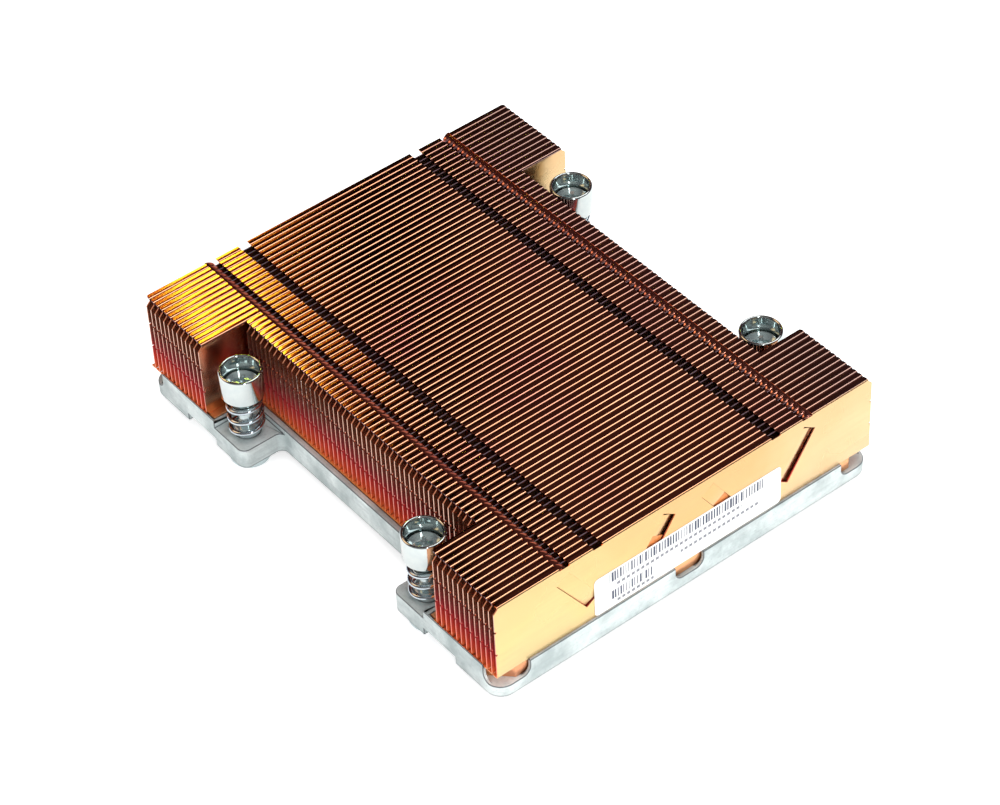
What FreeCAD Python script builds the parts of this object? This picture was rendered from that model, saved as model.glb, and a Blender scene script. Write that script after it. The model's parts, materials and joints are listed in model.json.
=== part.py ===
import FreeCAD, Part
import math
import os

# A passive heatsink for a server processor. Millimetres, +Z up. The origin is the middle of the copper
# contact face, which is the lowest face. X runs along the fins, and the labelled front faces -Y.

# Fin stack
fin_pitch = 1.45
fin_sheet = 0.3
fin_height = 17.9
wide_fin_width = 90.3
narrow_fin_width = 69.6
block_fins = 13  # wide fins in the front block, and again in the rear block
middle_groups = 7
fins_per_group = 7
fold_gap = 0.08  # air between the free edge of a fold and the next fin
corner_cut = 0.9  # bevel of a fin's upper corners, through the sheet and its top fold
channel_inner = 20.15  # the two open channels in the top folds, measured from the middle
channel_outer = 22.35
window_inner = 27.8  # the two lines of links: a window in the top fold, then a sunken tongue outside it
window_outer = 28.9
tongue_outer = 30.2
tongue_drop = 0.55

# Turbulence tabs lanced in the front fin and bent inwards
tab_width = 3.3
tab_length = 12.0
tab_lean = 34.0  # degrees from upright
tab_bend = 9.0  # degrees, about the upper long edge
tab_gap = 0.15  # shear gap round the three free edges
outer_tab = 26.2  # middle of each outer tab, from the middle of the fin
inner_tab = 7.9
tab_height = 10.0  # middle of a tab, from the bottom of the fin

# Label on the front fin
label_width = 45.0
label_height = 9.3
label_thickness = 0.1
label_foot = 0.3  # above the bottom of the fin

# Copper base plate with its contact block
plate_thickness = 3.3
plate_corner_cut = 4.0
plate_clearance = 0.1  # between the plate and the frame
contact_width = 54.0
contact_depth = 44.0
contact_corner_radius = 2.0
contact_reach = 2.4  # how far the contact face lies below the frame

# Cast frame
frame_overhang = 0.3  # beyond the fin stack, all round
frame_wall = 0.8
frame_floor = 2.6
frame_corner_radius = 3.4
wall_drop = 0.1  # front and rear walls end this far below the plate's top
lip_height = 0.6  # side walls rise this far above the plate's top, outside the fins
lip_thickness = 0.24
recess_half_length = 23.5
recess_wall = 36.25  # outer face of the frame beside the recess, from the middle
recess_wall_thickness = 1.3
recess_inner_radius = 1.5
ear_corner_radius = 1.8
ear_end_wall = 1.0  # between an ear and the plate
ear_length = 9.4
ear_drop = 1.3  # the ear's top lies this far below the plate's top
window_clearance = 0.5
notch_width = 6.7
corner_notch_front = 7.6
corner_notch_side = 4.2
notch_radius = 1.8
step_length = 9.2  # raised stretch of the lower edge beside each ear
step_height = 1.7
step_inset = 2.5
relief_depth = 1.0  # shallow pockets cast in the underside
relief_width = 62.0
relief_edge = 4.0

# Captive screws, springs and cups
screw_spacing_x = 81.5
screw_spacing_y = 56.8
cup_radius = 4.32
cup_height = 6.1
cup_top_above_plate = 14.7
cup_wall = 0.67
cup_rim_bevel = 0.3
cup_floor = 1.4
stem_radius = 2.55
stem_length = 3.2
head_radius = 3.3
head_height = 1.6
cross_width = 0.9
cross_length = 3.8
cross_depth = 1.1
shank_radius = 1.5
thread_radius = 1.75
thread_length = 1.6
running_clearance = 0.08  # radial, where a piece turns or slides in another
face_clearance = 0.05  # between faces of pieces that move apart
sleeve_flange_radius = 4.0
sleeve_flange_height = 2.1
sleeve_mouth_radius = 3.2  # room round the screw's end for the nut or post that it enters
sleeve_barrel_radius = 2.6
sleeve_barrel_rise = 2.0  # above the ear
sleeve_fit = 0.02  # radial, between the sleeve and the ear
spring_outer_radius = 3.7
spring_wire = 1.0
spring_turns = 3.5
spring_ground = 0.4  # how much of the wire is ground flat at each end
spring_wire_sides = 6

# Screws between the frame and the base plate
base_screw_x = 38.0
base_screw_y = 45.0
base_screw_radius = 1.5
base_screw_head_radius = 2.75
base_screw_length = 5.0
base_screw_fit = 0.05
base_screw_hole_end = 0.4  # the hole goes this much deeper than the screw
base_screw_cross_length = 3.2
base_screw_cross_width = 0.7
base_screw_cross_depth = 0.9

spare = 1.0  # how far a cutter reaches past what it cuts

# Levels and places worked out from the sizes above
fin_count = 2 * block_fins + middle_groups * fins_per_group
stack_depth = fin_count * fin_pitch
frame_bottom = contact_reach
floor_top = frame_bottom + frame_floor
plate_top = floor_top + plate_thickness
fin_top = plate_top + fin_height
ear_top = plate_top - ear_drop
frame_half_x = wide_fin_width / 2 + frame_overhang
frame_half_y = stack_depth / 2 + frame_overhang
ear_end = recess_half_length + ear_length
block_start = ear_end + ear_end_wall
recess_wall_inner = recess_wall - recess_wall_thickness
cup_top = plate_top + cup_top_above_plate
cup_bottom = cup_top - cup_height
cup_inner_radius = cup_radius - cup_wall
cup_floor_top = cup_bottom + cup_floor
sleeve_bottom = frame_bottom - sleeve_flange_height
sleeve_top = ear_top + sleeve_barrel_rise
head_seat = cup_floor_top + face_clearance
thread_top = sleeve_bottom + thread_length
up = FreeCAD.Vector(0, 0, 1)


def block(x0, x1, y0, y1, z0, z1):
    """A box between the given limits."""
    corner = FreeCAD.Vector(x0, y0, z0)
    return Part.makeBox(x1 - x0, y1 - y0, z1 - z0, corner)


def rod(radius, z0, z1, x=0, y=0):
    """An upright round bar."""
    return Part.makeCylinder(radius, z1 - z0, FreeCAD.Vector(x, y, z0))


def prism(points, direction):
    """A flat outline pushed along a direction."""
    outline = [FreeCAD.Vector(*point) for point in points]
    face = Part.Face(Part.makePolygon(outline + outline[:1]))
    return face.extrude(FreeCAD.Vector(*direction))


def upright_edges(solid, places, reach=0.05):
    """The vertical edges that stand at the given places in plan."""
    chosen = []
    for edge in solid.Edges:
        ends = [vertex.Point for vertex in edge.Vertexes]
        if len(ends) != 2:
            continue
        if math.hypot(ends[0].x - ends[1].x, ends[0].y - ends[1].y) > reach:
            continue
        if any(math.hypot(ends[0].x - x, ends[0].y - y) < reach for x, y in places):
            chosen.append(edge)
    return chosen


def four_corners(x, y):
    """The same place in each quarter of the plan."""
    return [(-x, -y), (x, -y), (-x, y), (x, y)]


def save(shape, name):
    """Write one piece to its own file."""
    shape.exportStep("parts/" + name + ".step")


def make_fin(width, front):
    """One fin: a sheet bent into a C profile, with a foot below and a top fold in five lengths.

    Two sunken tongues join the lengths beside the outer windows. In the stack they make the lines of links.
    """
    half = width / 2
    skin = front + fin_sheet
    back = front + fin_pitch - fold_gap
    low = plate_top
    profile = [(front, low), (back, low), (back, low + fin_sheet), (skin, low + fin_sheet)]
    profile += [(skin, fin_top - fin_sheet), (back, fin_top - fin_sheet), (back, fin_top), (front, fin_top)]
    fin = prism([(-half, y, z) for y, z in profile], (width, 0, 0))
    for side in (-1, 1):
        end = side * half
        bevel = [(end, fin_top - corner_cut), (end, fin_top), (end - side * corner_cut, fin_top)]
        fin = fin.cut(prism([(x, front, z) for x, z in bevel], (0, fin_pitch, 0)))
        channel = sorted([side * channel_inner, side * channel_outer])
        window = sorted([side * window_inner, side * tongue_outer])
        fin = fin.cut(block(*channel, front, back, fin_top - fin_sheet, fin_top))
        fin = fin.cut(block(*window, front, back, fin_top - fin_sheet, fin_top))
        slope = [(side * tongue_outer, fin_top), (side * window_outer, fin_top - tongue_drop)]
        slope += [(x, z - fin_sheet) for x, z in reversed(slope)]
        fin = fin.fuse(prism([(x, skin, z) for x, z in slope], (0, back - skin, 0)))
    return fin.removeSplitter()


def fin_front(number):
    """Front face of a fin, counted from zero at the front."""
    return number * fin_pitch - stack_depth / 2


def lean_over(shape, x, side):
    """Turn a tab or its window to its slant and put it in its place on the fin."""
    shape.rotate(FreeCAD.Vector(0, 0, 0), FreeCAD.Vector(0, 1, 0), side * tab_lean)
    shape.translate(FreeCAD.Vector(x, 0, plate_top + tab_height))
    return shape


def make_front_fin():
    """The foremost fin, with its four lanced tabs. The tabs of a pair mirror each other."""
    front = fin_front(0)
    skin = front + fin_sheet
    hinge = tab_width / 2
    half = tab_length / 2
    fin = make_fin(wide_fin_width, front)
    for side, x in [(-1, -outer_tab), (1, -inner_tab), (-1, inner_tab), (1, outer_tab)]:
        fin = fin.cut(lean_over(block(-hinge, hinge, front - spare, skin, -half, half), x, side))
        ends = sorted([-side * hinge, side * (hinge - tab_gap)])
        tab = block(*ends, front, skin, tab_gap - half, half - tab_gap)
        tab.rotate(FreeCAD.Vector(-side * hinge, front, 0), up, side * tab_bend)
        fin = fin.fuse(lean_over(tab, x, side))
    return fin


def make_label():
    """The paper label stuck to the front fin."""
    front = fin_front(0)
    low = plate_top + label_foot
    return block(-label_width / 2, label_width / 2, front - label_thickness, front, low, low + label_height)


def plan_of_plate(clearance, low, high):
    """The H-shaped space for the base plate in the frame, less a clearance."""
    wide_x = frame_half_x - frame_wall - clearance
    long_y = frame_half_y - frame_wall - clearance
    waist_x = recess_wall_inner - clearance
    start_y = block_start + clearance
    shape = block(-waist_x, waist_x, -long_y, long_y, low, high)
    for side in (-1, 1):
        ends = sorted([side * start_y, side * long_y])
        shape = shape.fuse(block(-wide_x, wide_x, *ends, low, high))
    return shape.removeSplitter()


def make_base_plate():
    """Copper plate under the fins, with the contact block on its underside."""
    plate = plan_of_plate(plate_clearance, floor_top, plate_top)
    corner_x = frame_half_x - frame_wall - plate_clearance
    corner_y = frame_half_y - frame_wall - plate_clearance
    plate = plate.makeChamfer(plate_corner_cut, upright_edges(plate, four_corners(corner_x, corner_y)))
    half_x = contact_width / 2
    half_y = contact_depth / 2
    contact = block(-half_x, half_x, -half_y, half_y, 0, floor_top)
    contact = contact.makeFillet(contact_corner_radius, upright_edges(contact, four_corners(half_x, half_y)))
    plate = plate.fuse(contact).removeSplitter()
    for x, y in four_corners(base_screw_x, base_screw_y):
        top = frame_bottom + base_screw_length + base_screw_hole_end
        plate = plate.cut(rod(base_screw_radius + base_screw_fit, floor_top - spare, top, x, y))
    return plate


def rounded_slot(x0, x1, y0, y1, low, high, radius, axis):
    """A cutter for a notch whose lower corners are rounded. It runs along the given axis."""
    cutter = block(x0, x1, y0, y1, low, high)
    edges = []
    for edge in cutter.Edges:
        a, b = [vertex.Point for vertex in edge.Vertexes]
        along = abs(a.x - b.x) if axis == "x" else abs(a.y - b.y)
        if along > 0.01 and abs(a.z - low) < 0.01 and abs(b.z - low) < 0.01:
            edges.append(edge)
    return cutter.makeFillet(radius, edges)


def cut_notches(frame):
    """Open the middle and corner notches of the front and rear walls."""
    over = notch_radius + spare  # keeps the cutter's other rounded corner off the frame
    through = frame_wall + plate_clearance
    high = plate_top + lip_height + spare
    for side in (-1, 1):
        outside = side * (frame_half_y + spare)
        inside = side * (frame_half_y - through)
        y_range = sorted([outside, inside])
        half = notch_width / 2
        frame = frame.cut(rounded_slot(-half, half, *y_range, floor_top, high, notch_radius, "y"))
        for hand in (-1, 1):
            x_range = sorted([hand * (frame_half_x + over), hand * (frame_half_x - corner_notch_front)])
            frame = frame.cut(rounded_slot(*x_range, *y_range, floor_top, high, notch_radius, "y"))
            x_range = sorted([hand * (frame_half_x + spare), hand * (frame_half_x - through)])
            y_side = sorted([side * (frame_half_y + over), side * (frame_half_y - corner_notch_side)])
            frame = frame.cut(rounded_slot(*x_range, *y_side, floor_top, high, notch_radius, "x"))
    return frame


def make_frame():
    """The cast tray that carries the base plate and the four screws."""
    side_top = plate_top + lip_height
    frame = block(-frame_half_x, frame_half_x, -frame_half_y, frame_half_y, frame_bottom, side_top)
    for side in (-1, 1):
        recess = sorted([side * recess_wall, side * (frame_half_x + spare)])
        frame = frame.cut(block(*recess, -recess_half_length, recess_half_length, 0, side_top + spare))
    corners = four_corners(frame_half_x, frame_half_y)
    frame = frame.makeFillet(frame_corner_radius, upright_edges(frame, corners))
    ears = four_corners(frame_half_x, recess_half_length)
    frame = frame.makeFillet(ear_corner_radius, upright_edges(frame, ears))
    roots = four_corners(recess_wall, recess_half_length)
    frame = frame.makeFillet(recess_inner_radius, upright_edges(frame, roots))

    # Room for the plate, and the height of each stretch of wall
    frame = frame.cut(plan_of_plate(0, floor_top, side_top + spare))
    lip = frame_half_x - lip_thickness
    rear = frame_half_y + spare
    frame = frame.cut(block(-lip, lip, -rear, rear, plate_top - wall_drop, side_top + spare))
    for side in (-1, 1):
        pocket = sorted([side * recess_wall, side * (frame_half_x + spare)])
        for end in (-1, 1):
            along = sorted([end * (recess_half_length - spare), end * ear_end])
            frame = frame.cut(block(*pocket, *along, ear_top, side_top + spare))
    frame = cut_notches(frame)

    # Window for the contact block, raised stretches of the lower edge and relief of the underside
    half_x = contact_width / 2 + window_clearance
    half_y = contact_depth / 2 + window_clearance
    below = frame_bottom - spare
    window = block(-half_x, half_x, -half_y, half_y, below, floor_top + spare)
    corners = upright_edges(window, four_corners(half_x, half_y))
    frame = frame.cut(window.makeFillet(contact_corner_radius, corners))
    for side in (-1, 1):
        step = sorted([side * (frame_half_x - step_inset), side * (frame_half_x + spare)])
        for end in (-1, 1):
            along = sorted([end * ear_end, end * (ear_end + step_length)])
            frame = frame.cut(block(*step, *along, below, frame_bottom + step_height))
    for end in (-1, 1):
        along = sorted([end * (half_y + relief_edge), end * (frame_half_y - relief_edge)])
        half = relief_width / 2
        frame = frame.cut(block(-half, half, *along, below, frame_bottom + relief_depth))

    for x, y in four_corners(screw_spacing_x / 2, screw_spacing_y / 2):
        frame = frame.cut(rod(sleeve_barrel_radius + sleeve_fit, below, ear_top + spare, x, y))
    for x, y in four_corners(base_screw_x, base_screw_y):
        frame = frame.cut(rod(base_screw_radius + base_screw_fit, below, floor_top + spare, x, y))
        frame = frame.cut(countersink(x, y, base_screw_head_radius + base_screw_fit))
    return frame.removeSplitter()


def countersink(x, y, radius):
    """The conical head of a base screw, or its seat."""
    small = radius - base_screw_head_radius + base_screw_radius
    place = FreeCAD.Vector(x, y, frame_bottom)
    return Part.makeCone(radius, small, radius - small, place, up)


def make_base_screws():
    """Four countersunk screws that pull the frame against the plate."""
    screws = []
    for x, y in four_corners(base_screw_x, base_screw_y):
        shank = rod(base_screw_radius, frame_bottom, frame_bottom + base_screw_length, x, y)
        screw = shank.fuse(countersink(x, y, base_screw_head_radius))
        half_length = base_screw_cross_length / 2
        half_width = base_screw_cross_width / 2
        low = frame_bottom - spare
        high = frame_bottom + base_screw_cross_depth
        for turn in (0, 90):
            slot = block(-half_length, half_length, -half_width, half_width, low, high)
            slot.rotate(FreeCAD.Vector(0, 0, 0), up, turn)
            slot.translate(FreeCAD.Vector(x, y, 0))
            screw = screw.cut(slot)
        screws.append(screw.removeSplitter())
    return Part.makeCompound(screws)


def make_sleeve(x, y):
    """Retaining sleeve: a flange under the ear and a barrel that guides the spring.

    The flange is hollow below. Its ceiling keeps the thicker, threaded end of the screw.
    """
    sleeve = rod(sleeve_flange_radius, sleeve_bottom, frame_bottom)
    sleeve = sleeve.fuse(rod(sleeve_barrel_radius, sleeve_bottom, sleeve_top))
    below = sleeve_bottom - spare
    sleeve = sleeve.cut(rod(shank_radius + running_clearance, below, sleeve_top + spare))
    sleeve = sleeve.cut(rod(sleeve_mouth_radius, below, thread_top + face_clearance))
    sleeve.translate(FreeCAD.Vector(x, y, 0))
    return sleeve.removeSplitter()


def make_cup(x, y):
    """Spring cup: an open cup for the screw head, with a stem that guides the spring."""
    cup = rod(cup_radius, cup_bottom, cup_top)
    rim = [edge for edge in cup.Edges if edge.Closed and edge.Vertexes[0].Z > cup_top - 0.01]
    cup = cup.makeChamfer(cup_rim_bevel, rim)
    cup = cup.fuse(rod(stem_radius, cup_bottom - stem_length, cup_bottom))
    cup = cup.cut(rod(cup_inner_radius, cup_floor_top, cup_top + spare))
    below = cup_bottom - stem_length - spare
    cup = cup.cut(rod(shank_radius + running_clearance, below, cup_floor_top + spare))
    cup.translate(FreeCAD.Vector(x, y, 0))
    return cup.removeSplitter()


def make_captive_screw(x, y):
    """Cross-recessed screw that turns in its cup and is kept by its threaded end."""
    head_top = head_seat + head_height
    screw = rod(head_radius, head_seat, head_top)
    screw = screw.fuse(rod(shank_radius, thread_top, head_seat))
    screw = screw.fuse(rod(thread_radius, sleeve_bottom, thread_top))
    for turn in (45, 135):
        half = cross_length / 2
        half_width = cross_width / 2
        slot = block(-half, half, -half_width, half_width, head_top - cross_depth, head_top + spare)
        slot.rotate(FreeCAD.Vector(0, 0, 0), up, turn)
        screw = screw.cut(slot)
    screw.translate(FreeCAD.Vector(x, y, 0))
    return screw.removeSplitter()


def make_spring(x, y):
    """Compression spring between the ear and the cup, ground flat at both ends."""
    low = ear_top
    high = cup_bottom - face_clearance
    half = spring_wire / 2
    middle = spring_outer_radius - half
    start = low + half - spring_ground
    rise = high - low - spring_wire + 2 * spring_ground
    helix = Part.makeHelix(rise / spring_turns, rise, middle)
    helix.translate(FreeCAD.Vector(0, 0, start))
    corners = []
    for number in range(spring_wire_sides):
        angle = 2 * math.pi * number / spring_wire_sides
        corners.append(FreeCAD.Vector(middle + half * math.cos(angle), 0, start + half * math.sin(angle)))
    section = Part.makePolygon(corners + corners[:1])
    spring = Part.Wire(helix.Edges).makePipeShell([section], True, True)
    spring = spring.common(rod(spring_outer_radius + spare, low, high))
    spring.translate(FreeCAD.Vector(x, y, 0))
    return spring


os.makedirs("parts", exist_ok=True)

save(make_frame(), "base_frame")
save(make_base_plate(), "base_plate")
save(make_base_screws(), "base_screws")
save(make_label(), "front_label")

save(make_front_fin(), "front_fin_01")
for number in range(1, block_fins):
    save(make_fin(wide_fin_width, fin_front(number)), f"front_fin_{number + 1:02d}")
for number in range(block_fins):
    place = fin_front(fin_count - block_fins + number)
    save(make_fin(wide_fin_width, place), f"rear_fin_{number + 1:02d}")
for group in range(middle_groups):
    first = block_fins + group * fins_per_group
    fins = [make_fin(narrow_fin_width, fin_front(first + step)) for step in range(fins_per_group)]
    save(Part.makeCompound(fins), f"middle_fins_{group + 1:02d}")

names = ["front_left", "front_right", "rear_left", "rear_right"]
for name, (x, y) in zip(names, four_corners(screw_spacing_x / 2, screw_spacing_y / 2)):
    save(make_sleeve(x, y), "retaining_sleeve_" + name)
    save(make_spring(x, y), "spring_" + name)
    save(make_cup(x, y), "spring_cup_" + name)
    save(make_captive_screw(x, y), "captive_screw_" + name)
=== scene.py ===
import json
import math
import random

import bpy
from mathutils import Matrix, Vector

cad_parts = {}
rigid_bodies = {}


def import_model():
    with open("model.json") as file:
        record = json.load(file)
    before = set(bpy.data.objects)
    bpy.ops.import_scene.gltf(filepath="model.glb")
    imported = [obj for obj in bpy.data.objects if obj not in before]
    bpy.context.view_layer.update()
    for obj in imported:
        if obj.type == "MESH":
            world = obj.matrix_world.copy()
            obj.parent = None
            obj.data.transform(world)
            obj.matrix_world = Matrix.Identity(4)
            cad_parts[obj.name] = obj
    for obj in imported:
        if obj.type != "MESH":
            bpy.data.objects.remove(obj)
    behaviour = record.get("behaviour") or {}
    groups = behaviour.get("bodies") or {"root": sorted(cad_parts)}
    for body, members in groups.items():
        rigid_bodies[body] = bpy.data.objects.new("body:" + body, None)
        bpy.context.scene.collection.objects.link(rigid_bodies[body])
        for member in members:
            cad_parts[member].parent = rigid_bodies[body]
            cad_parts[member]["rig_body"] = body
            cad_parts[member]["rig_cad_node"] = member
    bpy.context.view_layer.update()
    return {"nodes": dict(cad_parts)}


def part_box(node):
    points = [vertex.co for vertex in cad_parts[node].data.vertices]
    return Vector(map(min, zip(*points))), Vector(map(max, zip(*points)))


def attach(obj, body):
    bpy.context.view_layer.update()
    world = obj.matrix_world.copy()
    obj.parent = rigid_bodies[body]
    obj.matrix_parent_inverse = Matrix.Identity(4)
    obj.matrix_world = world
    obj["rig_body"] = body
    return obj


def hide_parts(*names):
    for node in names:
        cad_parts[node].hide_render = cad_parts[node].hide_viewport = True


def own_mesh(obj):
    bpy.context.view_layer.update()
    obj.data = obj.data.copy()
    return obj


random.seed(7)
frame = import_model()
print("frame loaded:", len(frame["nodes"]), "pieces")

mm = 0.001
corners = ["front_left", "front_right", "rear_left", "rear_right"]


# Small hand tools

def deselectAll():
    active = bpy.context.view_layer.objects.active
    if active and active.mode != "OBJECT":
        bpy.ops.object.mode_set(mode="OBJECT")
    bpy.ops.object.select_all(action="DESELECT")


def choose(piece):
    deselectAll()
    piece.select_set(True)
    bpy.context.view_layer.objects.active = piece


def bakePlace(piece):
    choose(piece)
    bpy.ops.object.transform_apply(location=True, rotation=True, scale=True)


def pick(piece, kind, test):
    # selects vertices, edges or faces by the place of their middle, and leaves the piece in edit mode
    choose(piece)
    mesh = piece.data
    for group in (mesh.vertices, mesh.edges, mesh.polygons):
        group.foreach_set("select", [False] * len(group))
    points = [vertex.co.copy() for vertex in mesh.vertices]
    found = 0
    if kind == "VERT":
        for vertex in mesh.vertices:
            vertex.select = test(vertex.co)
            found += vertex.select
    elif kind == "EDGE":
        for edge in mesh.edges:
            a, b = (points[i] for i in edge.vertices)
            if test(a) and test(b):
                edge.select = True
                found += 1
                for i in edge.vertices:
                    mesh.vertices[i].select = True
    else:
        for face in mesh.polygons:
            if test(face.center):
                face.select = True
                found += 1
                for i in face.vertices:
                    mesh.vertices[i].select = True
        chosen = {key for face in mesh.polygons if face.select for key in face.edge_keys}
        for edge in mesh.edges:
            edge.select = edge.key in chosen
    bpy.context.tool_settings.mesh_select_mode = (kind == "VERT", kind == "EDGE", kind == "FACE")
    bpy.ops.object.mode_set(mode="EDIT")
    return found


def cutAcross(piece, point, normal, clearOuter=False, fill=False, test=None):
    pick(piece, "FACE", test or (lambda middle: True))
    bpy.ops.mesh.bisect(plane_co=point, plane_no=normal, clear_outer=clearOuter, use_fill=fill, threshold=1e-7)
    bpy.ops.object.mode_set(mode="OBJECT")


def deleteFaces(piece, test):
    if pick(piece, "FACE", test):
        bpy.ops.mesh.delete(type="FACE")
    bpy.ops.object.mode_set(mode="OBJECT")


def cleanUp(piece):
    pick(piece, "VERT", lambda place: True)
    bpy.ops.mesh.remove_doubles(threshold=1e-6)
    bpy.ops.mesh.normals_make_consistent(inside=False)
    bpy.ops.object.mode_set(mode="OBJECT")


def applyAll(piece):
    choose(piece)
    for modifier in list(piece.modifiers):
        bpy.ops.object.modifier_apply(modifier=modifier.name)


def smooth(piece, degrees=35):
    choose(piece)
    bpy.ops.object.shade_smooth_by_angle(angle=math.radians(degrees))


def copyAt(source, name, shift=(0, 0, 0)):
    piece = source.copy()
    piece.data = source.data.copy()
    piece.name = name
    piece.data.name = name
    bpy.context.scene.collection.objects.link(piece)
    piece.data.transform(Matrix.Translation(Vector(shift)))
    return piece


def joinInto(first, others):
    choose(first)
    for other in others:
        other.select_set(True)
    bpy.context.view_layer.objects.active = first
    bpy.ops.object.join()
    return first


def discard(*pieces):
    for piece in pieces:
        bpy.data.objects.remove(piece, do_unlink=True)


def paint(piece, materials, index=0, test=None):
    # gives the piece its materials, and the faces that pass the test the one with this index
    if [slot.material for slot in piece.material_slots] != materials:
        kinds = [face.material_index for face in piece.data.polygons]
        piece.data.materials.clear()
        for material in materials:
            piece.data.materials.append(material)
        for face, kind in zip(piece.data.polygons, kinds):
            face.material_index = kind
    for face in piece.data.polygons:
        if test is None or test(face):
            face.material_index = index
    return piece


def dress(piece, name, body, slot, *nodes):
    piece.name = name
    piece.data.name = name
    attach(piece, body)
    if nodes:
        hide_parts(*nodes)
    return piece


def cutOut(piece, cutter):
    cut = piece.modifiers.new("cut", "BOOLEAN")
    cut.object = cutter
    cut.operation = "DIFFERENCE"
    cut.solver = "EXACT"
    applyAll(piece)
    discard(cutter)


def drawLine(name, points):
    # a plane is merged to one point, moved to the start and extruded from point to point. It stays in edit mode
    deselectAll()
    bpy.ops.mesh.primitive_plane_add(size=mm, location=(0, 0, 0))
    piece = bpy.context.object
    piece.name = name
    bpy.ops.object.mode_set(mode="EDIT")
    bpy.ops.mesh.select_mode(type="VERT")
    bpy.ops.mesh.select_all(action="SELECT")
    bpy.ops.mesh.merge(type="CENTER")
    bpy.ops.transform.translate(value=points[0])
    for before, after in zip(points, points[1:]):
        bpy.ops.mesh.extrude_vertices_move(TRANSFORM_OT_translate={"value": after - before})
    return piece


def turned(name, outline, steps):
    # an outline of radius and height, spun round the upright axis
    piece = drawLine(name, [Vector((radius, 0, height)) * mm for radius, height in outline])
    bpy.ops.mesh.select_all(action="SELECT")
    bpy.ops.mesh.spin(steps=steps, angle=2 * math.pi, center=(0, 0, 0), axis=(0, 0, 1), use_auto_merge=True)
    bpy.ops.object.mode_set(mode="OBJECT")
    cleanUp(piece)
    return piece


# Materials

def newMaterial(name, roughness, metallic):
    material = bpy.data.materials.new(name)
    material.use_nodes = True
    tree = material.node_tree
    shader = tree.nodes["Principled BSDF"]
    shader.inputs["Roughness"].default_value = roughness
    shader.inputs["Metallic"].default_value = metallic
    return material, tree, shader


def addNode(tree, kind, links=None, **settings):
    node = tree.nodes.new(kind)
    for key, value in settings.items():
        setattr(node, key, value)
    for socket, value in (links or {}).items():
        if isinstance(value, bpy.types.NodeSocket):
            tree.links.new(value, node.inputs[socket])
        else:
            node.inputs[socket].default_value = value
    return node


def objectPlace(tree, scale=(1, 1, 1)):
    place = addNode(tree, "ShaderNodeTexCoord").outputs["Object"]
    return addNode(tree, "ShaderNodeMapping", {"Vector": place, "Scale": scale}).outputs["Vector"]


def placeAxes(tree):
    place = addNode(tree, "ShaderNodeTexCoord").outputs["Object"]
    return addNode(tree, "ShaderNodeSeparateXYZ", {0: place}).outputs


def maths(tree, operation, *values, clamp=False):
    return addNode(tree, "ShaderNodeMath", dict(enumerate(values)), operation=operation, use_clamp=clamp).outputs[0]


def vectorMaths(tree, operation, *values, output="Vector"):
    return addNode(tree, "ShaderNodeVectorMath", dict(enumerate(values)), operation=operation).outputs[output]


def noise(tree, place, scale, detail=4.0, rough=0.55):
    values = {"Vector": place, "Scale": scale, "Detail": detail, "Roughness": rough}
    return addNode(tree, "ShaderNodeTexNoise", values).outputs["Fac"]


rollingScale = (60, 900, 900)


def rollingMarks(tree):
    # fine marks along the sheet
    return noise(tree, objectPlace(tree, rollingScale), 1.0, 5, 0.6)


def ramp(tree, value, stops):
    node = addNode(tree, "ShaderNodeValToRGB", {"Fac": value})
    points = node.color_ramp.elements
    while len(points) < len(stops):
        points.new(0.5)
    for point, (position, colour) in zip(points, stops):
        point.position = position
        point.color = (*colour, 1)
    return node.outputs["Color"]


def spread(tree, value, low, high, fromLow=0.3, fromHigh=0.7):
    values = {"Value": value, "From Min": fromLow, "From Max": fromHigh, "To Min": low, "To Max": high}
    return addNode(tree, "ShaderNodeMapRange", values).outputs["Result"]


def spreadOver(tree, value, low, high, stretch):
    # the stretch is in mm
    return spread(tree, value, low, high, stretch[0] * mm, stretch[1] * mm)


def mixColour(tree, factor, first, second):
    node = addNode(tree, "ShaderNodeMix", data_type="RGBA", blend_type="MIX")
    for index, value in ((0, factor), (6, first), (7, second)):
        if isinstance(value, bpy.types.NodeSocket):
            tree.links.new(value, node.inputs[index])
        else:
            node.inputs[index].default_value = value if index == 0 else (*value, 1)
    return node.outputs[2]


def bumpFrom(tree, height, distance):
    return addNode(tree, "ShaderNodeBump", {"Height": height, "Distance": distance, "Strength": 1.0}).outputs["Normal"]


copperLook = {
    "clean": (0.93, 0.48, 0.27),
    "worn": (0.86, 0.41, 0.22),
    "tarnish": (0.68, 0.28, 0.21),
    "cloudScale": 45,
    "roughLow": 0.06,
    "roughHigh": 0.12,
    "dull": (0.24, 0.185, 0.19),  # painted shade: towards the right the sheets are greyer and darker
    "towardsRightFrom": (8.0, 40.0),
    "rightShadeShare": 0.75,
    "dullRough": 0.06,
    "markDepth": 0.0000015,
    # painted glow: reds towards the foot of the sheets, standing in for light bounced between them
    "glow": [(0.0, (1.0, 0.32, 0.10)), (0.12, (1.0, 0.17, 0.09)),
             (0.34, (0.72, 0.09, 0.11)), (0.62, (0.40, 0.06, 0.11))],
    "glowLevels": (8.3, 26.2),  # mm above the contact face
    "glowShare": (14.0, 25.0),
    "bareLevel": (8.3, 25.9),
    "bareMetallic": 0.35,
}
backLook = dict(copperLook, roughLow=0.16, roughHigh=0.26)
plateLook = dict(copperLook, clean=(0.93, 0.50, 0.24), worn=(0.86, 0.40, 0.17), roughLow=0.24, roughHigh=0.36)
endLook = dict(copperLook, clean=(0.82, 0.49, 0.36), worn=(0.79, 0.44, 0.31), tarnish=(0.70, 0.36, 0.26),
               glowShare=(8.5, 21.0))
linkLook = dict(copperLook, clean=(0.92, 0.42, 0.27), worn=(0.80, 0.33, 0.23), tarnish=(0.56, 0.20, 0.18),
                roughLow=0.12, roughHigh=0.20)


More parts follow.
